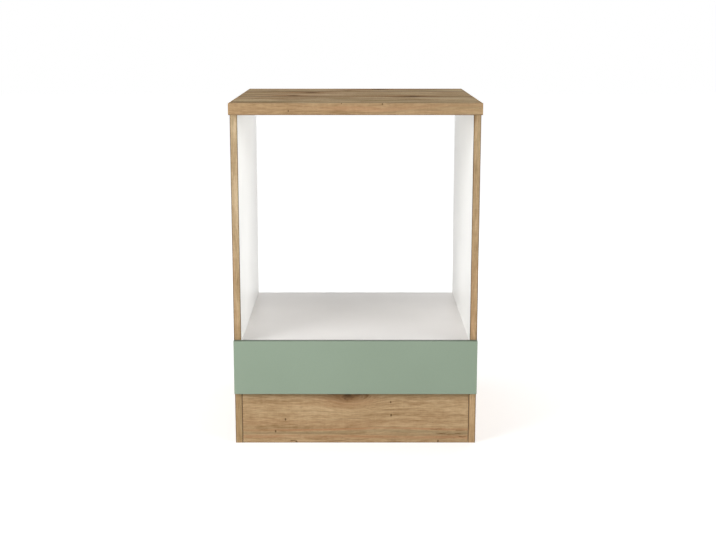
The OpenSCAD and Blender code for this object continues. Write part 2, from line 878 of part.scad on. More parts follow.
module drawer_base_screws() {
    color(zinc) for (x = base_screw_x)
        translate([x, box_back_y - drawer_board_t / 2, base_top_z - hardboard_t])
            rotate([180, 0, 0]) pan_screw(hardboard_t);
}

module front_bumpers() {
    color(nylon) both_sides() for (z = [front_z0 + bumper_inset, front_z1 - bumper_inset])
        rod_y([board_t / 2 - half_w, front_back_y, z], bumper_r, bumper_t);
}

left_side_panel();
right_side_panel();
left_side_edge();
right_side_edge();
bottom_panel();
bottom_edge();
oven_shelf();
shelf_edge();
rear_stretcher();
lower_back_panel();
plinth_panel();
plinth_blocks();
plinth_block_screws();
worktop();
worktop_front_strip();
worktop_side_strips();
worktop_angles();
worktop_angle_screws();
stretcher_screws();
carcass_cams();
carcass_cam_bolts();
carcass_dowels();
left_cabinet_rail();
right_cabinet_rail();
cabinet_rail_screws();
cabinet_roller_rivets();
left_cabinet_roller();
right_cabinet_roller();
drawer_front();
drawer_left_side();
drawer_right_side();
drawer_back();
drawer_base();
drawer_cams();
drawer_cam_bolts();
drawer_dowels();
drawer_back_screws();
drawer_base_screws();
left_drawer_rail();
right_drawer_rail();
drawer_rail_screws();
drawer_roller_rivets();
left_drawer_roller();
right_drawer_roller();
front_bumpers();
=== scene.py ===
# %% [markdown]
# # Cooker base cabinet
#
# A kitchen base unit for a built-in oven: an oak-look worktop and plinth, white boards inside, a
# sage green drawer front, and behind it a real drawer on roller rails. This script gives each
# one the surface, the edges and the small parts of the real thing, and then lights it like a
# catalogue picture.

# %% Load the measured cabinet
import json
import math

import bmesh
import bpy
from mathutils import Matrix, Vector


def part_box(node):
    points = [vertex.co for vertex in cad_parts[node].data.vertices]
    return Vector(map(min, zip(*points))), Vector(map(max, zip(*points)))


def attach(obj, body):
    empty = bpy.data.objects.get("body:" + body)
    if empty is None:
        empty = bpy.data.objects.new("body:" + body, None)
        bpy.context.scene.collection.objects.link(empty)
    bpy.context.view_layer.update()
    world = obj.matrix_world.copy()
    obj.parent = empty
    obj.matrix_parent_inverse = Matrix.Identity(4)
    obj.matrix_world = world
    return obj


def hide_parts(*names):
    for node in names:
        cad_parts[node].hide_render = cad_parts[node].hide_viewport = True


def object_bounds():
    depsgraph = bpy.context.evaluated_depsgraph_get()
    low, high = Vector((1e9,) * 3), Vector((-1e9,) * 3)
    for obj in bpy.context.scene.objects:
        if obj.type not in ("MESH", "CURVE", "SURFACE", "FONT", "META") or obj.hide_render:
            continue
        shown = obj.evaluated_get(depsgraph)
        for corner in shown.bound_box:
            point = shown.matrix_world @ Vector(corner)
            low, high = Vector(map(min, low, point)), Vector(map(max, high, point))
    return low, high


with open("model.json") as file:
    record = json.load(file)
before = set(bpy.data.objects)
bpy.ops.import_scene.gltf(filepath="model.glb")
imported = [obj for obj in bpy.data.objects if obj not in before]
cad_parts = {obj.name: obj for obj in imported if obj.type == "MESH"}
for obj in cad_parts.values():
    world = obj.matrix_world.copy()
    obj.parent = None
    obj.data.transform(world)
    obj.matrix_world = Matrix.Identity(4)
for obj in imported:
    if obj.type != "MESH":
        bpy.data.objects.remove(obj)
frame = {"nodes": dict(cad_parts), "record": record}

MM = 0.001
cabinet_low, cabinet_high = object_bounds()
print("cabinet", [round(size / MM, 1) for size in cabinet_high - cabinet_low], "mm")

body_of_node = {
    node: body
    for body, nodes in frame["record"]["behaviour"]["bodies"].items() for node in nodes
}

# %% [markdown]
# ## Camera
#
# A catalogue picture of a cabinet is taken from a little above the worktop and from well back,
# so that the boards hardly converge. The lens, the distance and the height were solved from the
# front and back edges of the worktop. The framing could be all shift, which keeps the uprights
# parallel, but a large shift pushes the cabinet out of every other view, so most of it is tilt.

# %% Camera
IMAGE_WIDTH = 716
FOCAL_PIXELS = 1219.4
TILT_DOWN = 11.06


def add_object(name, data):
    made = bpy.data.objects.new(name, data)
    bpy.context.scene.collection.objects.link(made)
    return made


camera = add_object("camera", bpy.data.cameras.new("camera"))
bpy.context.scene.camera = camera
camera.data.sensor_width = 36.0
camera.data.lens = FOCAL_PIXELS * camera.data.sensor_width / IMAGE_WIDTH
camera.data.shift_x = 0.0035
camera.data.shift_y = -0.019
camera.location = (0.0, -3.176, 1.046)
camera.rotation_euler = (math.radians(90.0 - TILT_DOWN), 0.0, 0.0)
print("lens", round(camera.data.lens, 2), "mm")

# %% [markdown]
# ## Small helpers for node trees
#
# Every finish below is a tree of nodes. Placing them by hand takes three lines a node, so
# `add_node` makes any node in one line and wires or sets its inputs: a value that is a socket is
# wired, and any other value is set. `calc` does the same for a Math node, and `times`, `minus`,
# `apart` and `total` are the kinds that come most often. `new_finish` starts a material, and
# `dress` wires its colour, its gloss and its relief at the end.

# %% Node helpers
def wire(tree, node, inputs):
    for socket, value in inputs.items():
        if isinstance(value, bpy.types.NodeSocket):
            tree.links.new(value, node.inputs[socket])
        else:
            node.inputs[socket].default_value = value


def add_node(tree, kind, inputs=None, **settings):
    made = tree.nodes.new(kind)
    for name, value in settings.items():
        setattr(made, name, value)
    wire(tree, made, inputs or {})
    return made


def calc(tree, operation, *values):
    inputs = dict(enumerate(values))
    return add_node(tree, "ShaderNodeMath", inputs, operation=operation).outputs[0]


def times(tree, first, second):
    return calc(tree, "MULTIPLY", first, second)


def minus(tree, first, second):
    return calc(tree, "SUBTRACT", first, second)


def apart(tree, first, second):
    return calc(tree, "ABSOLUTE", minus(tree, first, second))


def total(tree, *values):
    result = values[0]
    for value in values[1:]:
        result = calc(tree, "ADD", result, value)
    return result


def fade(tree, value, start, end, low=0.0, high=1.0):
    """Goes smoothly from low to high while the value goes from start to end."""
    return add_node(tree, "ShaderNodeMapRange", {
        "Value": value, "From Min": start, "From Max": end, "To Min": low, "To Max": high,
    }, interpolation_type="SMOOTHSTEP").outputs["Result"]


def vector(tree, x, y, z):
    return add_node(tree, "ShaderNodeCombineXYZ", {"X": x, "Y": y, "Z": z}).outputs[0]


def length_of(tree, offset):
    measure = add_node(tree, "ShaderNodeVectorMath", {0: offset}, operation="LENGTH")
    return measure.outputs["Value"]


def noise(tree, place, scale=1.0, detail=2.0, roughness=0.5):
    return add_node(tree, "ShaderNodeTexNoise", {
        "Vector": place, "Scale": scale, "Detail": detail, "Roughness": roughness,
    }).outputs["Fac"]


def mix_colour(tree, share, first, second, blend="MIX"):
    return add_node(tree, "ShaderNodeMix", {0: share, 6: first, 7: second},
                    data_type="RGBA", blend_type=blend).outputs[2]


def ramp(tree, value, stops):
    made = add_node(tree, "ShaderNodeValToRGB", {"Fac": value})
    band = made.color_ramp
    while len(band.elements) < len(stops):
        band.elements.new(1.0)
    for element, (place, tone) in zip(band.elements, stops):
        element.position = place
        element.color = tone
    return made.outputs["Color"]


def screen_colour(red, green, blue):
    """A colour read off a screen, 0 to 255, as the linear colour that a shader takes."""
    def linear(channel):
        share = channel / 255.0
        return share / 12.92 if share <= 0.04045 else ((share + 0.055) / 1.055) ** 2.4
    return (linear(red), linear(green), linear(blue), 1.0)


def new_finish(name, roughness, mirror=0.5):
    """A new material. Returns it, its tree, its shader and the place on the object."""
    finish = bpy.data.materials.new(name)
    finish.use_nodes = True
    tree = finish.node_tree
    shader = tree.nodes["Principled BSDF"]
    wire(tree, shader, {"Roughness": roughness, "Specular IOR Level": mirror})
    place = add_node(tree, "ShaderNodeTexCoord").outputs["Object"]
    return finish, tree, shader, place


def dress(tree, shader, colour, gloss=None, relief=None, depth=0.0):
    """Wires the colour, the roughness and the relief, which is as deep as given in metres."""
    looks = {"Base Color": colour}
    if gloss is not None:
        looks["Roughness"] = gloss
    if relief is not None:
        bump = add_node(tree, "ShaderNodeBump", {"Height": relief, "Distance": depth})
        looks["Normal"] = bump.outputs["Normal"]
    wire(tree, shader, looks)


print("helpers ready")

# %% [markdown]
# ## Knotty oak decor
#
# The worktop, the plinth and the side panels are chipboard with a printed oak surface. A picture
# of wood would be quick, but it repeats and doesn't fit these boards, so the figure is grown.
# A board cut lengthwise shows its year rings as level lines, which run along the board and part
# round each knot. So the shader first works out a ring height: the distance across the grain,
# pushed about by slow noise, and pushed apart near each knot. Every layer of the figure is then
# noise that is long along the board and narrow in ring height, so it all flows the same way.
# A knot has a ragged heart, a red halo, and a dark tail that thins out along the grain.

# %% Ring height
KNOT_FLATNESS = 0.45
KNOT_REACH = 2.2
KNOT_PUSH = 0.9
TAIL_REACH = 4.0
PIP_STRETCH = 1.7


def ring_height(tree, along, across, knots, seed, wander):
    """Returns the ring height, and how far each place is a knot's heart, halo or tail."""
    slow = noise(tree, vector(tree, times(tree, along, 2.4), times(tree, across, 9.0), seed))
    height = total(tree, across, fade(tree, slow, 0.25, 0.75, -wander, wander))
    rough_edge = fade(tree, noise(tree, vector(tree, along, across, seed), 90.0, 4.0),
                      0.3, 0.7, 0.72, 1.35)
    heart = halo = tail = 0.0
    for along_place, across_place, size, depth in knots:
        u = minus(tree, along, along_place)
        v = minus(tree, across, across_place)
        flat_u = times(tree, u, KNOT_FLATNESS)
        square_v = times(tree, v, v)
        flat_square = total(tree, times(tree, flat_u, flat_u), square_v)
        near = calc(tree, "EXPONENT", calc(tree, "DIVIDE", flat_square, -(KNOT_REACH * size) ** 2))
        push = times(tree, times(tree, v, near), KNOT_PUSH)
        height = minus(tree, height, push)
        reach = calc(tree, "SQRT", total(tree, times(tree, u, flat_u), square_v))
        ragged = times(tree, reach, rough_edge)
        heart = calc(tree, "MAXIMUM", heart, fade(tree, ragged, size * 0.2, size, depth, 0.0))
        halo = calc(tree, "MAXIMUM", halo, fade(
            tree, calc(tree, "SQRT", flat_square), size * 0.5, size * 3.4, depth, 0.0))
        lane = fade(tree, apart(tree, v, push), size * 0.1, size * 0.8, depth, 0.0)
        run = calc(tree, "EXPONENT",
                   calc(tree, "DIVIDE", calc(tree, "ABSOLUTE", u), -TAIL_REACH * size))
        tail = calc(tree, "MAXIMUM", tail, times(tree, lane, run))
    return height, heart, halo, tail


def pip_marks(tree, along, across, pips):
    """Small dark eyes that stand across the grain, listed as along, across and size."""
    marks = 0.0
    for along_place, across_place, size in pips:
        offset = vector(tree, times(tree, minus(tree, along, along_place), PIP_STRETCH),
                        minus(tree, across, across_place), 0.0)
        eye = fade(tree, length_of(tree, offset), size * 0.4, size * 1.2, 1.0, 0.0)
        marks = calc(tree, "MAXIMUM", marks, eye)
    return marks


print("ring height ready")

# %% [markdown]
# ## The layers of the figure
#
# Printed oak is not one pattern. Soft bands and thin fibres run along it, short ripples lie in
# rows, short dark dashes are the pores, rays cross it as a faint chatter, and pale flecks catch
# the eye. Some streaks lean to red and others to a greenish grey, and here and there a smoky one
# gathers at a knot. Planks are glued side by side, so each one starts its own figure with its own
# tone. Thin dark lines show at the worktop's ends and at the side rims of the upright bands, where
# parts meet. At the top of the upright bands the dark line is partly that joint and partly painted
# shade under the worktop, and the dark lines at the lower edges of the worktop's band and of the
# plinth are painted shade. The tint on the worktop is painted shade that makes its top darker and
# greyer. The tint on the upright bands is painted light that makes them lighter and bluer towards
# the top, and the right band lighter than the left. The gloss is low and follows the pores, as on
# embossed melamine. On the worktop it is nearly gone, because a light haze would hide its dark
# marks.

# %% Oak finish
OAK_PALE = screen_colour(222, 196, 160)
OAK_LIGHT = screen_colour(208, 178, 138)
OAK_MIDDLE = screen_colour(184, 152, 113)
OAK_DARK = screen_colour(150, 119, 82)
OAK_DEEP = screen_colour(126, 96, 62)
OAK_PORE = screen_colour(108, 79, 46)
OAK_KNOT = screen_colour(64, 42, 24)
OAK_RED = screen_colour(190, 138, 100)
OAK_GREY = screen_colour(160, 142, 108)
PLANK_SEED_STEP = 3.7
JOINT_LINE = (0.0006, 0.0020)
JOINT_GRIME = 0.016
END_LINE = (0.003, 0.001)
END_LINE_DEPTH = 0.42
RIM_WIDTH = 0.0030
PAINTED_LIGHT_FADE = (0.12, 0.75)
OAK_RELIEF = 0.00010


def oak_finish(name, grain, seed, knots=(), pips=(), streaks=(), dashes=(), plank=0.0,
               first_joint=0.0, joint_depth=0.6, smoke=0.4, wander=0.012, contrast=1.0,
               ripple=0.24, patchy=0.1, hue=1.0, painted_light_tint=None, far_painted_light_tint=None, end_line=None,
               rims=None, mirror=0.08):
    """Oak decor whose grain runs along the named axis, with the marks of one kind of board."""
    finish, tree, shader, place = new_finish(name, 0.6, mirror)
    axes = add_node(tree, "ShaderNodeSeparateXYZ", {"Vector": place}).outputs
    along = axes[grain]
    across = total(tree, *(axes[axis] for axis in "XYZ" if axis != grain))
    own = seed
    joint = 0.0
    plank_tone = 0.5
    if plank:
        count = calc(tree, "DIVIDE", minus(tree, across, first_joint), plank)
        own = total(tree, times(tree, calc(tree, "FLOOR", count), PLANK_SEED_STEP), seed)
        edge = times(tree, calc(tree, "PINGPONG", count, 0.5), plank)
        line = fade(tree, edge, *JOINT_LINE, 1.0, 0.0)
        grime = fade(tree, calc(tree, "ABSOLUTE", along), 0.03, 0.12, 0.25, 0.9)
        soft = times(tree, grime, fade(tree, edge, 0.0, JOINT_GRIME, 0.9, 0.0))
        joint = calc(tree, "MAXIMUM", line, soft)
        plank_tone = add_node(tree, "ShaderNodeTexWhiteNoise", {"W": own},
                              noise_dimensions="1D").outputs["Value"]
    height, heart, halo, tail = ring_height(tree, along, across, knots, own, wander)

    def layer(per_metre_along, per_metre_across, offset, detail=2.0, roughness=0.55):
        spot = vector(tree, times(tree, along, per_metre_along),
                      times(tree, height, per_metre_across), total(tree, own, offset))
        return noise(tree, spot, 1.0, detail, roughness)

    broad = layer(1.4, 16.0, 61.0)
    patches = layer(7.0, 22.0, 83.0)
    bands = layer(2.5, 110.0, 0.0, 3.0)
    ripples = layer(36.0, 250.0, 71.0, 3.0, 0.6)
    fibre = layer(16.0, 480.0, 5.0, 3.0, 0.65)
    chatter = layer(210.0, 30.0, 31.0)
    pores = fade(tree, layer(70.0, 1300.0, 9.0, 1.0), 0.61, 0.70)
    flecks = fade(tree, layer(55.0, 420.0, 14.0, 1.0), 0.66, 0.76)
    smoky = fade(tree, layer(7.0, 110.0, 21.0, 4.0, 0.65), 0.60, 0.76)
    red = fade(tree, layer(2.2, 45.0, 41.0), 0.50, 0.72)
    grey = fade(tree, layer(2.8, 60.0, 52.0), 0.52, 0.74)
    cloud = noise(tree, vector(tree, times(tree, along, 9.0), times(tree, across, 20.0), own),
                  1.0, 3.0)
    mixed = [(bands, 0.28), (fibre, 0.32), (ripples, ripple), (patches, patchy), (cloud, 0.22),
             (chatter, 0.07), (plank_tone, 0.10), (broad, 0.18)]
    mottle = total(tree, *(times(tree, noise_value, share) for noise_value, share in mixed),
                   -0.5 * sum(share for _, share in mixed))
    tone = total(tree, times(tree, mottle, contrast), times(tree, halo, -0.07), 0.5)
    figure = ramp(tree, tone, [(0.20, OAK_DEEP), (0.36, OAK_DARK), (0.50, OAK_MIDDLE),
                               (0.63, OAK_LIGHT), (0.80, OAK_PALE)])

    def lay(share, strength, colour):
        nonlocal figure
        figure = mix_colour(tree, times(tree, share, strength), figure, colour)

    lay(grey, 0.42 * hue, OAK_GREY)
    lay(red, 0.36 * hue, OAK_RED)
    lay(halo, 0.40, OAK_RED)
    for across_place, half_width, colour, share in streaks:
        off = apart(tree, height, across_place)
        lane = fade(tree, off, half_width * 0.3, half_width, share, 0.0)
        uneven = fade(tree, layer(6.0, 120.0, 95.0), 0.35, 0.65, 0.35, 1.0)
        lay(lane, uneven, colour)
    for along_place, across_place, half_length, half_width in dashes:
        off, past = apart(tree, height, across_place), apart(tree, along, along_place)
        lane = times(tree, fade(tree, off, half_width * 0.4, half_width, 1.0, 0.0),
                     fade(tree, past, half_length * 0.5, half_length, 1.0, 0.0))
        broken = fade(tree, layer(40.0, 220.0, 101.0, 3.0), 0.38, 0.56, 0.1, 0.75)
        lay(lane, broken, OAK_PORE)
    lay(flecks, 0.45, OAK_LIGHT)
    lay(smoky, smoke, OAK_PORE)
    lay(pores, 0.34, OAK_PORE)
    frayed = fade(tree, fibre, 0.35, 0.60, 0.25, 0.9)
    lay(tail, frayed, OAK_PORE)
    lay(heart, 0.92, OAK_KNOT)
    if pips:
        lay(pip_marks(tree, along, across, pips), 0.75, OAK_KNOT)
    lay(joint, joint_depth, OAK_KNOT)
    # A dark line at the ends along the grain: on the worktop a glue line, and at the top of the
    # upright bands partly that joint and partly painted shade under the worktop.
    if end_line:
        start, end = (end_line - inset for inset in END_LINE)
        glue_and_shade = fade(tree, calc(tree, "ABSOLUTE", along), start, end, 0.0, END_LINE_DEPTH)
        figure = mix_colour(tree, glue_and_shade, figure, OAK_KNOT)
    # Dark rims: at the sides of the upright bands they are glue lines, and at the lower edges of
    # the worktop's band and of the plinth they are painted shade.
    if rims:
        low, high, depth = rims
        glue_and_shade = calc(tree, "MAXIMUM", fade(tree, across, low, low + RIM_WIDTH, depth, 0.0),
                    fade(tree, across, high - RIM_WIDTH, high, 0.0, depth))
        figure = mix_colour(tree, glue_and_shade, figure, OAK_KNOT)
    # Painted light and shade: a tint that fades along the grain, which makes the upright bands
    # lighter and bluer towards the top and the worktop's top darker and greyer.
    if painted_light_tint:
        coat = mix_colour(tree, fade(tree, along, *PAINTED_LIGHT_FADE), (*painted_light_tint, 1.0),
                          (*(far_painted_light_tint or painted_light_tint), 1.0))
        figure = mix_colour(tree, 1.0, figure, coat, "MULTIPLY")
    gloss = total(tree, 0.52, times(tree, pores, 0.14), times(tree, fibre, 0.12))
    relief = minus(tree, times(tree, fibre, 0.6), total(tree, pores, joint))
    dress(tree, shader, figure, gloss, relief, OAK_RELIEF)
    return finish


def from_zero(across_zero, *marks):
    """Marks listed as place along the grain, place across from a zero line, and the rest."""
    return [(along, across_zero + across, *rest) for along, across, *rest in marks]


def lower_shaded_rim(node, depth):
    """The lower rim of a board along the cabinet's front, darkened as painted shade."""
    low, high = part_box(node)
    return low.y + low.z, low.y + high.z + RIM_WIDTH, depth


def both_rims(node, depth):
    """The left and right rims of an upright band's front."""
    low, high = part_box(node)
    return low.x + low.y, high.x + low.y, depth


TOP_LEVEL = cabinet_high.z
plinth_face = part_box("plinth_panel")[0].y
strip_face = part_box("worktop_front_strip")[0].y
band_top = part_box("left_side_edge")[1].z
# The worktop's tint is painted shade: it makes its top darker and greyer.
worktop_oak = oak_finish(
    "worktop_oak", "X", 1.3, plank=0.240, first_joint=-0.062 + TOP_LEVEL, joint_depth=0.9,
    smoke=0.8, contrast=1.35, patchy=0.36, hue=1.4, end_line=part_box("worktop")[1].x,
    mirror=0.001, painted_light_tint=(0.85, 0.94, 1.02),
    knots=from_zero(TOP_LEVEL, (-0.160, -0.015, 0.015, 0.9), (-0.118, 0.118, 0.019, 0.9),
                    (-0.021, 0.190, 0.013, 1.0), (0.068, 0.262, 0.021, 1.0),
                    (0.147, -0.040, 0.018, 1.0)))
# The plinth's lower rim is painted shade along its bottom edge.
plinth_oak = oak_finish(
    "plinth_oak", "X", 6.1, plank=0.208, first_joint=plinth_face + 0.022, joint_depth=0.10,
    hue=0.45, ripple=0.38, wander=0.004, smoke=0.5, rims=lower_shaded_rim("plinth_panel", 0.55),
    knots=from_zero(plinth_face, (-0.019, 0.124, 0.014, 0.7), (0.003, 0.131, 0.011, 0.6)),
    pips=from_zero(plinth_face, (-0.175, 0.061, 0.0042), (-0.200, 0.030, 0.0042),
                   (-0.148, 0.002, 0.0045), (0.088, 0.106, 0.0036), (0.089, 0.072, 0.0042),
                   (0.207, 0.004, 0.0042)),
    streaks=[(plinth_face + 0.036, 0.004, OAK_RED, 0.7),
             (plinth_face + 0.026, 0.008, OAK_GREY, 0.7),
             (plinth_face + 0.013, 0.006, OAK_RED, 0.5)],
    dashes=from_zero(plinth_face, (0.224, 0.036, 0.030, 0.0014), (0.262, 0.034, 0.014, 0.0020),
                     (0.236, 0.023, 0.040, 0.0036), (0.196, 0.035, 0.012, 0.0010),
                     (0.268, 0.015, 0.012, 0.0016), (-0.156, 0.0015, 0.009, 0.0018),
                     (0.030, 0.128, 0.022, 0.0016)))
side_oak = oak_finish(
    "side_oak", "Z", 12.4, plank=0.19, first_joint=-0.5, joint_depth=0.25, smoke=0.6,
    knots=[(0.62, -0.48, 0.011, 1.0), (0.34, -0.22, 0.008, 0.8), (0.17, -0.42, 0.007, 0.8),
           (0.70, -0.11, 0.009, 1.0), (0.50, 0.28, 0.010, 1.0), (0.22, 0.44, 0.008, 0.8),
           (0.68, 0.15, 0.008, 0.9)])
# The bands' tints are painted light: lighter and bluer towards the top, and lighter on the right
# band than on the left.
left_band_oak = oak_finish(
    "left_band_oak", "Z", 31.0, rims=both_rims("left_side_edge", 0.85), end_line=band_top,
    painted_light_tint=(0.96, 0.97, 0.94), far_painted_light_tint=(1.25, 1.40, 1.60))
right_band_oak = oak_finish(
    "right_band_oak", "Z", 37.5, rims=both_rims("right_side_edge", 0.85), end_line=band_top,
    painted_light_tint=(1.19, 1.20, 1.22), far_painted_light_tint=(1.19, 1.27, 1.37))
worktop_end_oak = oak_finish("worktop_end_oak", "Y", 44.2)
# The band's lower rim is painted shade along its bottom edge.
worktop_band_oak = oak_finish(
    "worktop_band_oak", "X", 22.9, ripple=0.30, contrast=0.9,
    rims=lower_shaded_rim("worktop_front_strip", 0.60),
    pips=from_zero(strip_face + TOP_LEVEL, (0.063, -0.002, 0.0030), (-0.158, -0.018, 0.0028),
                   (-0.033, 0.0, 0.0025)))
print("oak finishes ready")

# %% [markdown]
# ## Painted, faced and raw boards
#
# White melamine looks plain, but its press plate leaves a fine pearl in it that spreads the
# light, and no large board is one even white. The shelf's is a touch warmer than the walls', a
# painted warm cast of light. The sage front is sprayed lacquer, so its skin has a faint orange
# peel, and its edges are a darker green, which is painted shade. Where a board is cut and not
# banded it shows its chips, which are cells of tan wood with dark bark and glue between them.
# Hardboard is white on its face and shows the brown fibre and the print of the wire screen on its
# back.

# %% White, green and raw boards
CHIPS_PER_METRE = 420.0
WIRE_RADIANS_PER_METRE = 2400.0


def skin_finish(name, tone, second_tone, roughness, grain_scale, relief, cloud_scale=5.0,
                mirror=0.5):
    """A smooth coat with slow changes of tone, and a fine grain in its relief and its gloss."""
    finish, tree, shader, place = new_finish(name, roughness, mirror)
    cloud = noise(tree, place, cloud_scale, 3.0)
    grain = noise(tree, place, grain_scale, 2.0, 0.6)
    share = fade(tree, total(tree, times(tree, cloud, 0.7), times(tree, grain, 0.3)), 0.35, 0.65)
    colour = mix_colour(tree, share, screen_colour(*tone), screen_colour(*second_tone))
    gloss = fade(tree, grain, 0.3, 0.7, roughness - 0.04, roughness + 0.06)
    dress(tree, shader, colour, gloss, grain, relief)
    return finish


def chip_finish(name):
    finish, tree, shader, place = new_finish(name, 0.85)
    stretched = add_node(tree, "ShaderNodeMapping", {"Vector": place, "Scale": (1.0, 1.0, 1.8)})
    cells = {"Vector": stretched.outputs[0], "Scale": CHIPS_PER_METRE}
    chips = add_node(tree, "ShaderNodeTexVoronoi", cells)
    edges = add_node(tree, "ShaderNodeTexVoronoi", cells, feature="DISTANCE_TO_EDGE")
    shade = add_node(tree, "ShaderNodeSeparateColor", {"Color": chips.outputs["Color"]})
    tone = ramp(tree, shade.outputs["Red"], [
        (0.0, screen_colour(120, 92, 62)), (0.25, screen_colour(168, 136, 98)),
        (0.8, screen_colour(204, 176, 136)), (1.0, screen_colour(222, 200, 164)),
    ])
    gap = fade(tree, edges.outputs["Distance"], 0.02, 0.12, 1.0, 0.0)
    colour = mix_colour(tree, times(tree, gap, 0.6), tone, screen_colour(96, 72, 50))
    dress(tree, shader, colour, None, times(tree, gap, -1.0), 0.0003)
    return finish


def fibre_back_finish(name):
    finish, tree, shader, place = new_finish(name, 0.8)
    axes = add_node(tree, "ShaderNodeSeparateXYZ", {"Vector": place}).outputs
    weave = total(tree, *(calc(tree, "SINE", times(tree, way, WIRE_RADIANS_PER_METRE))
                          for way in (axes["X"], total(tree, axes["Y"], axes["Z"]))))
    fibre = noise(tree, place, 300.0, 4.0, 0.7)
    colour = ramp(tree, fibre, [(0.3, screen_colour(112, 82, 56)),
                                (0.6, screen_colour(158, 122, 86))])
    dress(tree, shader, colour, None, total(tree, times(tree, weave, 0.3), fibre), 0.0002)
    return finish


white_melamine = skin_finish("white_melamine", (247, 247, 245), (243, 243, 241), 0.42, 900.0,
                             0.00002, mirror=0.2)
# The shelf's warmer tone is a painted warm cast of light on it.
shelf_melamine = skin_finish("shelf_melamine", (246, 243, 241), (242, 239, 237), 0.42, 900.0,
                             0.00002, mirror=0.2)
white_band = skin_finish("white_band", (238, 238, 236), (233, 233, 230), 0.36, 500.0, 0.00003)
sage_lacquer = skin_finish("sage_lacquer", (158, 175, 155), (154, 171, 151), 0.44, 320.0,
                           0.00003, 3.0, 0.12)
# The front's edges are a darker green than its face, which is painted shade.
sage_edge_painted_shade = skin_finish("sage_edge_painted_shade", (120, 133, 118), (116, 129, 114), 0.5, 320.0,
                        0.00003, 3.0, 0.06)
white_hardboard = skin_finish("white_hardboard", (234, 234, 231), (227, 227, 223), 0.5, 260.0,
                              0.00006)
backing_foil = skin_finish("backing_foil", (206, 196, 178), (194, 182, 162), 0.6, 180.0, 0.00006)
chipboard = chip_finish("chipboard")
hardboard_back = fibre_back_finish("hardboard_back")
print("board finishes ready")

# %% [markdown]
# ## Metal, nylon and beech
#
# The rails are white epoxy on steel, baked to a soft gloss. Zinc plating is crystalline, so a
# Voronoi pattern varies its tone and gloss a little. Nylon is moulded and slightly cloudy. Beech
# dowels show the short dark flecks that mark that wood, stretched along each dowel.

# %% Small part finishes
def zinc_finish(name):
    finish, tree, shader, place = new_finish(name, 0.36)
    wire(tree, shader, {"Metallic": 1.0})
    crystals = add_node(tree, "ShaderNodeTexVoronoi", {"Vector": place, "Scale": 900.0})
    shade = add_node(tree, "ShaderNodeSeparateColor", {"Color": crystals.outputs["Color"]})
    colour = mix_colour(tree, shade.outputs["Red"], screen_colour(196, 198, 202),
                        screen_colour(176, 180, 186))
    scratch = noise(tree, place, 1600.0, 3.0, 0.7)
    dress(tree, shader, colour, fade(tree, scratch, 0.3, 0.7, 0.28, 0.44), scratch, 0.00002)
    return finish


def beech_finish(name, along_axis):
    finish, tree, shader, place = new_finish(name, 0.6)
    scale = [2600.0, 2600.0, 2600.0]
    scale["XYZ".index(along_axis)] = 320.0
    stretched = add_node(tree, "ShaderNodeMapping", {"Vector": place, "Scale": scale})
    fleck = fade(tree, noise(tree, stretched.outputs[0], 1.0, 2.0), 0.58, 0.68)
    grain = noise(tree, stretched.outputs[0], 0.25, 3.0)
    base = mix_colour(tree, grain, screen_colour(222, 190, 148), screen_colour(204, 168, 124))
    colour = mix_colour(tree, times(tree, fleck, 0.5), base, screen_colour(150, 106, 70))
    dress(tree, shader, colour, None, grain, 0.00008)
    return finish


def buffer_finish(name):
    finish, tree, shader, place = new_finish(name, 0.12)
    wire(tree, shader, {"Transmission Weight": 0.85, "IOR": 1.49})
    haze = noise(tree, place, 700.0, 2.0)
    colour = mix_colour(tree, haze, screen_colour(238, 242, 242), screen_colour(224, 230, 230))
    dress(tree, shader, colour, fade(tree, haze, 0.3, 0.7, 0.08, 0.22))
    return finish


zinc = zinc_finish("zinc_plating")
white_epoxy = skin_finish("white_epoxy", (230, 230, 227), (222, 222, 218), 0.34, 1100.0,
                          0.00003, 20.0)
white_nylon = skin_finish("white_nylon", (236, 236, 230), (226, 226, 218), 0.46, 1500.0,
                          0.00002, 120.0)
beech_along_x = beech_finish("beech_along_x", "X")
beech_along_y = beech_finish("beech_along_y", "Y")
clear_plastic = buffer_finish("clear_plastic")
print("small part finishes ready")

# %% [markdown]
# ## Boards with real faces and eased arrises
#
# The measured boards are right in shape, but they come as loose triangles with one finish. A
# faced board has another surface on each side, and its arrises are never razor sharp: they catch
# a thin line of light. So each board becomes a joined copy, every face gets the finish of the
# side it lies on, and only the outer arrises get a small round. A Bevel modifier would round the
# drilled holes too, so the arrises are picked here by their place and rounded in the mesh.

# %% Joined copies and facing
SIDES = {"left": (0, 0), "right": (0, 1), "front": (1, 0), "back": (1, 1),
         "bottom": (2, 0), "top": (2, 1)}
TOUCH = 0.00001
SAME_POINT = 0.000002
FLAT_ANGLE = math.radians(0.2)
CORNER_ANGLE = math.radians(32)


def joined_copy(node):
    """The node's triangles as one closed mesh with flat faces made whole again."""
    shape = bmesh.new()
    shape.from_mesh(frame["nodes"][node].data)
    bmesh.ops.remove_doubles(shape, verts=shape.verts, dist=SAME_POINT)
    bmesh.ops.dissolve_limit(shape, angle_limit=FLAT_ANGLE, verts=shape.verts,
                             edges=shape.edges, delimit={"NORMAL"})
    return shape


def stand_for(piece, node):
    """The piece is shown in place of the node and rides on its body."""
    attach(piece, body_of_node[node])
    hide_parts(node)


def keep_piece(node, name, shape, finishes, smooth_angle=None):
    mesh = bpy.data.meshes.new(name)
    for finish in finishes:
        mesh.materials.append(finish)
    if smooth_angle:
        for face in shape.faces:
            face.smooth = True
        for edge in shape.edges:
            edge.smooth = edge.is_manifold and edge.calc_face_angle() < smooth_angle
    shape.to_mesh(mesh)
    shape.free()
    piece = add_object(name, mesh)
    stand_for(piece, node)
    return piece


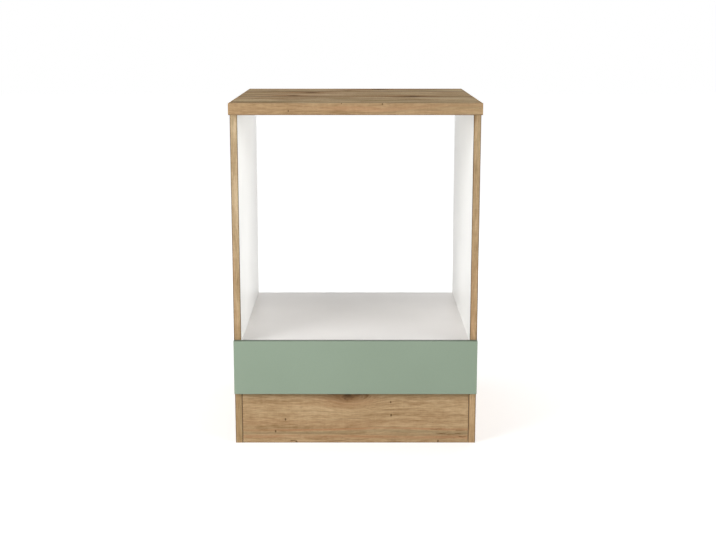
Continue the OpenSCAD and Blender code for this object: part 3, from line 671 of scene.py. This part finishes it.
def outer_arrises(shape, low, high):
    """The edges that lie on two sides of the board's box at once."""
    found = []
    for edge in shape.edges:
        held = 0
        for axis in range(3):
            for limit in (low[axis], high[axis]):
                if all(abs(vert.co[axis] - limit) < TOUCH for vert in edge.verts):
                    held += 1
        if held == 2:
            found.append(edge)
    return found


def faced_board(node, core, faces, arris=0.4 * MM):
    """A board with a core finish, and another on each named side that is faced."""
    shape = joined_copy(node)
    low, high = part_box(node)
    finishes = [core] + list(faces.values())
    for face in shape.faces:
        for number, side in enumerate(faces, start=1):
            axis, upper = SIDES[side]
            limit = (low, high)[upper][axis]
            if all(abs(vert.co[axis] - limit) < TOUCH for vert in face.verts):
                face.material_index = number
    if arris:
        bmesh.ops.bevel(shape, geom=outer_arrises(shape, low, high), offset=arris,
                        offset_type="OFFSET", segments=2, profile=0.5, affect="EDGES",
                        clamp_overlap=True, material=-1)
    return keep_piece(node, node + "_faced", shape, finishes)


def round_part(node, finish):
    """A turned or moulded part: the same form, shaded smooth except at real corners."""
    return keep_piece(node, node + "_turned", joined_copy(node), [finish], CORNER_ANGLE)


print("board helpers ready")

# %% [markdown]
# ## Carcass boards
#
# Oak decor is only where it is seen: outside the two side panels. Their inner faces are white,
# and so are the bottom and the oven shelf. Front edges are banded, and the other edges are left
# raw, because they stand against a wall or inside a joint.

# %% Carcass boards
carcass_boards = [
    faced_board("left_side_panel", chipboard, {"left": side_oak, "right": white_melamine}),
    faced_board("right_side_panel", chipboard, {"right": side_oak, "left": white_melamine}),
    faced_board("left_side_edge", left_band_oak, {}),
    faced_board("right_side_edge", right_band_oak, {}),
    faced_board("bottom_edge", white_band, {}),
    faced_board("shelf_edge", white_band, {}),
    faced_board("lower_back_panel", white_hardboard, {"back": hardboard_back}, 0.2 * MM),
    faced_board("plinth_panel", chipboard, {"front": plinth_oak, "back": backing_foil}),
]
for board, melamine in (("bottom_panel", white_melamine), ("oven_shelf", shelf_melamine),
                        ("rear_stretcher", white_melamine)):
    carcass_boards.append(faced_board(board, chipboard, {"top": melamine, "bottom": melamine}))
print(len(carcass_boards), "carcass boards")

# %% [markdown]
# ## Worktop
#
# A thicker board, 28 mm, in glued planks that run across the cabinet. Thick bands with rounded
# arrises close its front and its two ends. Below it has a plain backing foil, which keeps the
# board flat, and its back edge is raw because a wall profile hides it.

# %% Worktop
worktop_pieces = [
    faced_board("worktop", chipboard, {"top": worktop_oak, "bottom": backing_foil}, 0.1 * MM),
    faced_board("worktop_front_strip", worktop_band_oak, {}, 0.0),
    faced_board("worktop_side_strips", worktop_end_oak, {}, 0.0),
]
print(len(worktop_pieces), "worktop pieces")

# %% [markdown]
# ## Drawer boards
#
# The front hangs over the carcass edges and is lacquered sage green on its face and edges, with
# a white back; its edges are a darker green, as painted shade. Behind it the drawer is a plain
# white box: two sides, a back and a hardboard base that slides in a groove.

# %% Drawer boards
drawer_boards = [
    faced_board("drawer_front", sage_lacquer, {
        "back": white_melamine, "top": sage_edge_painted_shade, "bottom": sage_edge_painted_shade,
        "left": sage_edge_painted_shade, "right": sage_edge_painted_shade}, 0.0),
    faced_board("drawer_base", white_hardboard, {"bottom": hardboard_back}, 0.2 * MM),
]
for board in ("drawer_left_side", "drawer_right_side"):
    drawer_boards.append(faced_board(board, chipboard, {
        "left": white_melamine, "right": white_melamine, "top": white_band}))
drawer_boards.append(faced_board("drawer_back", chipboard, {
    "front": white_melamine, "back": white_melamine, "top": white_band}))
print(len(drawer_boards), "drawer boards")

# %% [markdown]
# ## Rails, rollers and fittings
#
# These were measured as they are: bent rails, turned rollers, cast cams. Round forms only need
# smooth shading up to their real corners, and each gets its own finish.

# %% Rails and fittings
fitting_finishes = {
    "left_cabinet_rail": white_epoxy, "right_cabinet_rail": white_epoxy,
    "left_drawer_rail": white_epoxy, "right_drawer_rail": white_epoxy,
    "left_cabinet_roller": white_nylon, "right_cabinet_roller": white_nylon,
    "left_drawer_roller": white_nylon, "right_drawer_roller": white_nylon,
    "plinth_blocks": white_nylon, "worktop_angles": zinc,
    "carcass_cams": zinc, "drawer_cams": zinc,
    "carcass_cam_bolts": zinc, "drawer_cam_bolts": zinc,
}
fittings = [round_part(node, finish) for node, finish in fitting_finishes.items()]
print(len(fittings), "fittings")

# %% [markdown]
# ## Where the fasteners are
#
# Screws, rivets, dowels and buffers repeat, so one good form of each is enough. The measured
# solids already say where each one goes: every loose part of a node is one fastener, it lies
# along its longest side, and its head is at the end that is wider. Reading this off the solids
# is safer than typing the places again, because it follows when the cabinet changes.

# %% Fastener places
END_SLICE = 0.2 * MM


def loose_parts(shape):
    waiting = set(shape.verts)
    while waiting:
        part = {waiting.pop()}
        edge_of_search = list(part)
        while edge_of_search:
            vert = edge_of_search.pop()
            for edge in vert.link_edges:
                other = edge.other_vert(vert)
                if other in waiting:
                    waiting.discard(other)
                    part.add(other)
                    edge_of_search.append(other)
        yield [vert.co.copy() for vert in part]


def fastener_places(node, axis=None):
    """Head point, outward direction and length of every fastener in a node."""
    shape = joined_copy(node)
    places = []
    for points in loose_parts(shape):
        low = [min(point[side] for point in points) for side in range(3)]
        high = [max(point[side] for point in points) for side in range(3)]
        spans = [high[side] - low[side] for side in range(3)]
        along = "XYZ".index(axis) if axis else spans.index(max(spans))
        middle = Vector((low[side] + high[side]) / 2 for side in range(3))

        def width_at(end):
            spread = [0.0]
            for point in points:
                if abs(point[along] - end) < END_SLICE:
                    out = point - middle
                    out[along] = 0.0
                    spread.append(out.length)
            return max(spread)

        sign = 1.0 if width_at(high[along]) >= width_at(low[along]) else -1.0
        head = middle.copy()
        head[along] = high[along] if sign > 0 else low[along]
        direction = Vector((0.0, 0.0, 0.0))
        direction[along] = sign
        places.append((head, direction, spans[along]))
    shape.free()
    return sorted(places, key=lambda place: tuple(place[0]))


print(len(fastener_places("cabinet_rail_screws")), "screws in the cabinet rails")

# %% [markdown]
# ## A lathe made of nodes
#
# Every fastener here is a turned form, so Geometry Nodes gets a small lathe: a flat grid is
# rolled up round Z, and each row of it becomes a ring with its own radius and height. A Curve to
# Mesh sweep could do this too, but with rings the corners stay exactly where the real part has
# them. The second tool is the tree that repeats one form at every place, turned to its direction
# and by a random amount round its own axis, as nobody lines up the slots of hidden screws.

# %% Node lathe
MERGE_DISTANCE = 0.000001


def pick(tree, index, values):
    """The value whose place in the list is the index."""
    switch = add_node(tree, "GeometryNodeIndexSwitch", data_type="FLOAT")
    while len(switch.index_switch_items) < len(values):
        switch.index_switch_items.new()
    wire(tree, switch, dict(enumerate([index, *values])))
    return switch.outputs[0]


def rolled_grid(tree, sides, rows, radius_and_height):
    """A grid rolled round Z. The function given turns (row, turn) into (radius, height)."""
    last = rows - 1
    sheet = add_node(tree, "GeometryNodeMeshGrid", {
        "Size X": 1.0, "Size Y": float(last), "Vertices X": sides + 1, "Vertices Y": rows})
    spot = add_node(tree, "ShaderNodeSeparateXYZ", {
        "Vector": add_node(tree, "GeometryNodeInputPosition").outputs[0]}).outputs
    row = calc(tree, "ROUND", total(tree, spot["Y"], last / 2))
    turn = times(tree, total(tree, spot["X"], 0.5), -math.tau)
    radius, height = radius_and_height(row, turn)
    ring = vector(tree, times(tree, radius, calc(tree, "COSINE", turn)),
                  times(tree, radius, calc(tree, "SINE", turn)), height)
    rolled = add_node(tree, "GeometryNodeSetPosition", {
        "Geometry": sheet.outputs["Mesh"], "Position": ring})
    return add_node(tree, "GeometryNodeMergeByDistance", {
        "Geometry": rolled.outputs["Geometry"], "Distance": MERGE_DISTANCE}).outputs["Geometry"]


def lathe(tree, rings, sides, flutes=0, flute_depth=0.0):
    """Rings of (radius, distance below the head), listed from the head down."""
    radii, depths = zip(*rings)

    def ring_shape(row, turn):
        radius = pick(tree, row, radii)
        if flutes:
            wave = calc(tree, "COSINE", times(tree, turn, float(flutes)))
            cut = times(tree, calc(tree, "MAXIMUM", wave, 0.0), flute_depth)
            radius = times(tree, radius, minus(tree, 1.0, cut))
        return radius, times(tree, pick(tree, row, depths), -1.0)

    return rolled_grid(tree, sides, len(rings), ring_shape)


SHARP_CORNER = 0.55
TURN_SEED = 7


def repeat_tree(name, sizes, make_one):
    """A tree with named sizes that puts one form at every place it is given."""
    tree = bpy.data.node_groups.new(name, "GeometryNodeTree")
    sockets = tree.interface
    sockets.new_socket("Places", in_out="INPUT", socket_type="NodeSocketGeometry")
    for size_name, value in sizes.items():
        size = sockets.new_socket(size_name, in_out="INPUT", socket_type="NodeSocketFloat")
        size.default_value = value
    sockets.new_socket("Finish", in_out="INPUT", socket_type="NodeSocketMaterial")
    sockets.new_socket("Fasteners", in_out="OUTPUT", socket_type="NodeSocketGeometry")
    given = tree.nodes.new("NodeGroupInput").outputs
    corner = add_node(tree, "GeometryNodeInputMeshEdgeAngle").outputs["Unsigned Angle"]
    smooth = add_node(tree, "GeometryNodeSetShadeSmooth", {
        0: make_one(tree, given), 2: True}, domain="FACE")
    crisp = add_node(tree, "GeometryNodeSetShadeSmooth", {
        0: smooth.outputs[0], 1: calc(tree, "GREATER_THAN", corner, SHARP_CORNER), 2: False,
    }, domain="EDGE")
    toward = add_node(tree, "GeometryNodeInputNamedAttribute", {"Name": "direction"},
                      data_type="FLOAT_VECTOR")
    faced = add_node(tree, "FunctionNodeAlignRotationToVector", {
        "Vector": toward.outputs["Attribute"]}, axis="Z")
    placed = add_node(tree, "GeometryNodeInstanceOnPoints", {
        "Points": given["Places"], "Instance": crisp.outputs[0],
        "Rotation": faced.outputs["Rotation"]})
    chance = add_node(tree, "FunctionNodeRandomValue", {2: 0.0, 3: math.tau, 8: TURN_SEED},
                      data_type="FLOAT")
    spun = add_node(tree, "GeometryNodeRotateInstances", {
        "Instances": placed.outputs["Instances"],
        "Rotation": vector(tree, 0.0, 0.0, chance.outputs[1])})
    real = add_node(tree, "GeometryNodeRealizeInstances", {"Geometry": spun.outputs[0]})
    painted = add_node(tree, "GeometryNodeSetMaterial", {
        "Geometry": real.outputs["Geometry"], "Material": given["Finish"]})
    result = tree.nodes.new("NodeGroupOutput")
    tree.links.new(painted.outputs["Geometry"], result.inputs["Fasteners"])
    return tree


def run_tree(node, tree, finish, axis=None, **sizes):
    """Runs the tree on the node's own places and keeps the result as one plain mesh."""
    places = fastener_places(node, axis)
    points = bpy.data.meshes.new(node + "_places")
    points.from_pydata([head for head, _, _ in places], [], [])
    toward = points.attributes.new("direction", "FLOAT_VECTOR", "POINT")
    for number, (_, direction, _) in enumerate(places):
        toward.data[number].vector = direction
    piece = add_object(node + "_set", points)
    repeat = piece.modifiers.new("repeat", "NODES")
    repeat.node_group = tree
    values = {"Finish": finish, "Length": places[0][2]}
    values.update({name.replace("_", " ").title(): value for name, value in sizes.items()})
    for socket in tree.interface.items_tree:
        if socket.in_out == "INPUT" and socket.name in values:
            repeat[socket.identifier] = values[socket.name]
    made = bpy.data.meshes.new_from_object(
        piece.evaluated_get(bpy.context.evaluated_depsgraph_get()))
    piece.modifiers.clear()
    piece.data = made
    check = bmesh.new()
    check.from_mesh(made)
    volume = check.calc_volume(signed=True) / MM ** 3
    open_edges = sum(1 for edge in check.edges if not edge.is_manifold)
    print(node, len(places), "pieces,", len(made.polygons), "faces,", round(volume), "mm3,",
          open_edges, "open edges")
    check.free()
    stand_for(piece, node)
    return piece


print("node lathe ready")

# %% [markdown]
# ## Screws
#
# Two kinds of chipboard screw: countersunk ones that end flush in a rail or a board, and pan
# heads that clamp a thin part. Both have a cross recess and a coarse thread down to the point.
# The head is turned on the lathe and the cross is cut from it with a Boolean. The thread is a
# grid whose radius rises and falls with the height and the turn together, which is a helix.

# %% Screws
HEAD_SIDES = 24
SHANK_SIDES = 16
THREAD_ROWS = 64
THREAD_START = 0.8


def make_screw(tree, given):
    dome = given["Dome"]
    rim = total(tree, dome, given["Rim"])
    under = total(tree, rim, given["Neck"])
    middle = times(tree, total(tree, given["Flat Radius"], given["Head Radius"]), 0.5)
    head = lathe(tree, [
        (0.0, 0.0), (given["Flat Radius"], 0.0),
        (middle, times(tree, dome, 0.3)), (given["Head Radius"], dome),
        (given["Head Radius"], rim), (given["Shank Radius"], under), (0.0, under),
    ], HEAD_SIDES)
    cross = add_node(tree, "GeometryNodeJoinGeometry")
    for quarter in (0.0, math.pi / 2):
        bar = add_node(tree, "GeometryNodeMeshCube", {"Size": vector(
            tree, given["Recess Reach"], given["Recess Width"],
            times(tree, given["Recess Depth"], 2.0))})
        turned = add_node(tree, "GeometryNodeTransform", {
            "Geometry": bar.outputs["Mesh"], "Rotation": (0.0, 0.0, quarter)})
        tree.links.new(turned.outputs["Geometry"], cross.inputs[0])
    cut = add_node(tree, "GeometryNodeMeshBoolean", {
        "Mesh 1": head, "Mesh 2": cross.outputs[0], "Self Intersection": True,
    }, operation="DIFFERENCE", solver="EXACT")

    def thread_shape(row, turn):
        share = calc(tree, "DIVIDE", row, THREAD_ROWS - 1.0)
        top = times(tree, under, THREAD_START)
        run = minus(tree, given["Length"], top)
        fall = times(tree, share, run)
        left = calc(tree, "DIVIDE", minus(tree, run, fall), given["Point"])
        phase = total(tree, calc(tree, "DIVIDE", fall, given["Pitch"]),
                      calc(tree, "DIVIDE", turn, math.tau))
        ridge = times(tree, calc(tree, "PINGPONG", phase, 0.5), 2.0)
        inner = minus(tree, given["Shank Radius"], given["Thread Depth"])
        radius = total(tree, inner, times(tree, ridge, given["Thread Depth"]))
        ends = times(tree, calc(tree, "MINIMUM", left, 1.0), calc(tree, "MINIMUM", row, 1.0))
        return times(tree, radius, ends), times(tree, total(tree, fall, top), -1.0)

    shank = rolled_grid(tree, SHANK_SIDES, THREAD_ROWS, thread_shape)
    whole = add_node(tree, "GeometryNodeJoinGeometry")
    tree.links.new(cut.outputs["Mesh"], whole.inputs[0])
    tree.links.new(shank, whole.inputs[0])
    return whole.outputs[0]


screw_tree = repeat_tree("chipboard_screw", {
    "Head Radius": 3.4 * MM, "Flat Radius": 3.3 * MM, "Dome": 0.02 * MM, "Rim": 0.13 * MM,
    "Neck": 1.5 * MM, "Shank Radius": 1.75 * MM, "Length": 16 * MM, "Point": 3 * MM,
    "Thread Depth": 0.5 * MM, "Pitch": 1.8 * MM,
    "Recess Reach": 3.6 * MM, "Recess Width": 0.85 * MM, "Recess Depth": 1.2 * MM,
}, make_screw)
pan_head = {"flat_radius": 1.7 * MM, "dome": 1.6 * MM, "rim": 0.38 * MM, "neck": 0.02 * MM,
            "recess_reach": 3.0 * MM}
screws = [run_tree(node, screw_tree, zinc) for node in (
    "cabinet_rail_screws", "stretcher_screws", "drawer_back_screws")]
screws += [run_tree(node, screw_tree, zinc, **pan_head) for node in (
    "plinth_block_screws", "worktop_angle_screws", "drawer_base_screws", "drawer_rail_screws")]
print(len(screws), "sets of screws")

# %% [markdown]
# ## Rivets, dowels and buffers
#
# A rivet carries each roller: a domed head, a pin as wide as the roller, a shoulder that keeps it
# off the rail, and a peened end. Beech dowels have chamfered ends and fine flutes, which let glue
# and air out of the hole. Four clear buffers quiet the front where it meets the side panels.

# %% Rivets, dowels and buffers
ROUND_SIDES = 32
DOWEL_SIDES = 64
FLUTES = 16
FLUTE_DEPTH = 0.07


def make_rivet(tree, given):
    head, height = given["Head Radius"], given["Head Height"]
    pin_end = total(tree, height, given["Pin Length"])
    in_rail = minus(tree, given["Length"], given["Rail Thickness"])
    return lathe(tree, [
        (0.0, 0.0), (times(tree, head, 0.55), times(tree, height, 0.1)),
        (times(tree, head, 0.88), times(tree, height, 0.45)),
        (head, height), (given["Pin Radius"], height), (given["Pin Radius"], pin_end),
        (head, pin_end), (head, in_rail), (given["Pin Radius"], in_rail),
        (given["Pin Radius"], given["Length"]), (0.0, given["Length"]),
    ], ROUND_SIDES)


def make_dowel(tree, given):
    radius, length, chamfer = given["Radius"], given["Length"], given["Chamfer"]
    narrow = minus(tree, radius, chamfer)
    return lathe(tree, [
        (0.0, 0.0), (narrow, 0.0), (radius, chamfer),
        (radius, minus(tree, length, chamfer)), (narrow, length), (0.0, length),
    ], DOWEL_SIDES, FLUTES, FLUTE_DEPTH)


def make_buffer(tree, given):
    radius, height = given["Radius"], given["Length"]
    domed = [(0.45, 0.04), (0.80, 0.28), (0.96, 0.65), (1.0, 1.0)]
    rings = [(times(tree, radius, out), times(tree, height, down)) for out, down in domed]
    return lathe(tree, [(0.0, 0.0), *rings, (0.0, height)], ROUND_SIDES)


rivet_tree = repeat_tree("roller_rivet", {
    "Head Radius": 4.0 * MM, "Head Height": 0.6 * MM, "Pin Radius": 2.4 * MM,
    "Pin Length": 7.2 * MM, "Rail Thickness": 1.2 * MM, "Length": 11 * MM,
}, make_rivet)
dowel_tree = repeat_tree("fluted_dowel", {
    "Radius": 4.0 * MM, "Chamfer": 0.9 * MM, "Length": 30 * MM}, make_dowel)
buffer_tree = repeat_tree("clear_buffer", {"Radius": 4.0 * MM, "Length": 1 * MM}, make_buffer)
small_sets = [
    run_tree("cabinet_roller_rivets", rivet_tree, zinc),
    run_tree("drawer_roller_rivets", rivet_tree, zinc),
    run_tree("carcass_dowels", dowel_tree, beech_along_x),
    run_tree("drawer_dowels", dowel_tree, beech_along_y, radius=3.0 * MM),
    run_tree("front_bumpers", buffer_tree, clear_plastic, axis="Y"),
]
print(len(small_sets), "sets of small parts")

# %% [markdown]
# ## Floor and light
#
# The cabinet stands on a pale floor with no horizon. The floor is a real surface that takes the
# cabinet's shadow, plus a little light of its own that only the camera and reflections see, so
# it reads as white without any extra lamp. The world does the same: white to the camera, and a
# softer white as light.
#
# A tone in a picture is the sum of what each lamp gives it, so the powers were solved from what
# each lamp gives, so that the boards come out as bright as in the photograph. Two large lamps
# stand in front, left and right. They light every front, and each one also reaches the inner
# wall on the far side. Two low lamps behind shine in through the open back and give the inner
# walls far more light than the shelf. A weak one between them stands higher and lights mostly
# the shelf. One more hangs right over the worktop and lights mostly its top and the floor. It is
# weak, because the photograph's worktop is darker than its edge.

# %% Floor and world
def seen_directly(tree):
    path = add_node(tree, "ShaderNodeLightPath").outputs
    return calc(tree, "MAXIMUM", path["Is Camera Ray"],
                calc(tree, "MAXIMUM", path["Is Glossy Ray"], path["Is Transmission Ray"]))


NEAR_GLOW = 0.52
FAR_GLOW = 0.90
GLOW_REACH = (1.0, 4.0)
FLOOR_TONES = (0.79, 0.81)
WHITE = (1.0, 1.0, 1.0, 1.0)
floor_finish, floor_tree, floor_shader, floor_place = new_finish("pale_floor", 0.8, 0.1)
floor_tone = fade(floor_tree, noise(floor_tree, floor_place, 3.0), 0.3, 0.7, *FLOOR_TONES)
from_cabinet = length_of(floor_tree, floor_place)
floor_glow = fade(floor_tree, from_cabinet, *GLOW_REACH, NEAR_GLOW, FAR_GLOW)
wire(floor_tree, floor_shader, {
    "Base Color": vector(floor_tree, floor_tone, floor_tone, floor_tone),
    "Emission Color": WHITE,
    "Emission Strength": times(floor_tree, seen_directly(floor_tree), floor_glow),
})

FLOOR_REACH = 14.0
floor_mesh = bpy.data.meshes.new("floor")
floor_mesh.from_pydata(
    [(side * FLOOR_REACH, depth * FLOOR_REACH, 0.0)
     for side, depth in ((-1, -1), (1, -1), (1, 1), (-1, 1))], [], [(0, 1, 2, 3)])
floor_mesh.materials.append(floor_finish)
floor = add_object("floor", floor_mesh)

WORLD_LIGHT = 0.09
world = bpy.data.worlds.new("studio")
bpy.context.scene.world = world
world.use_nodes = True
world_tree = world.node_tree
sky = world_tree.nodes["Background"]
wire(world_tree, sky, {
    "Color": WHITE,
    "Strength": fade(world_tree, seen_directly(world_tree), 0.0, 1.0, WORLD_LIGHT, 1.0),
})
print("floor and world ready")

# %% Lamps
def soft_lamp(name, place, aim, size, power):
    lamp = add_object(name, bpy.data.lights.new(name, "AREA"))
    lamp.data.shape = "RECTANGLE"
    lamp.data.size, lamp.data.size_y = size
    lamp.data.energy = power
    lamp.location = place
    lamp.rotation_euler = (Vector(aim) - Vector(place)).to_track_quat("-Z", "Y").to_euler()
    lamp.visible_camera = False
    return lamp


CABINET_MIDDLE = (0.0, 0.0, 0.45)
WORKTOP_MIDDLE = (0.0, 0.2, 0.85)
lamps = [
    soft_lamp("left_lamp", (-2.1, -1.8, 1.5), CABINET_MIDDLE, (1.6, 1.6), 54.0),
    soft_lamp("right_lamp", (3.5, -2.4, 1.6), CABINET_MIDDLE, (2.2, 1.8), 89.0),
    soft_lamp("over_lamp", (0.0, 0.2, 2.8), WORKTOP_MIDDLE, (1.4, 1.0), 20.0),
    soft_lamp("back_left_lamp", (-1.8, 2.2, 0.55), CABINET_MIDDLE, (1.6, 0.9), 13.0),
    soft_lamp("back_right_lamp", (1.8, 2.2, 0.55), CABINET_MIDDLE, (1.6, 0.9), 24.0),
    soft_lamp("back_lamp", (0.0, 2.4, 0.95), CABINET_MIDDLE, (1.6, 0.5), 4.5),
]
bpy.context.scene.view_settings.view_transform = "Standard"
print(len(lamps), "lamps")
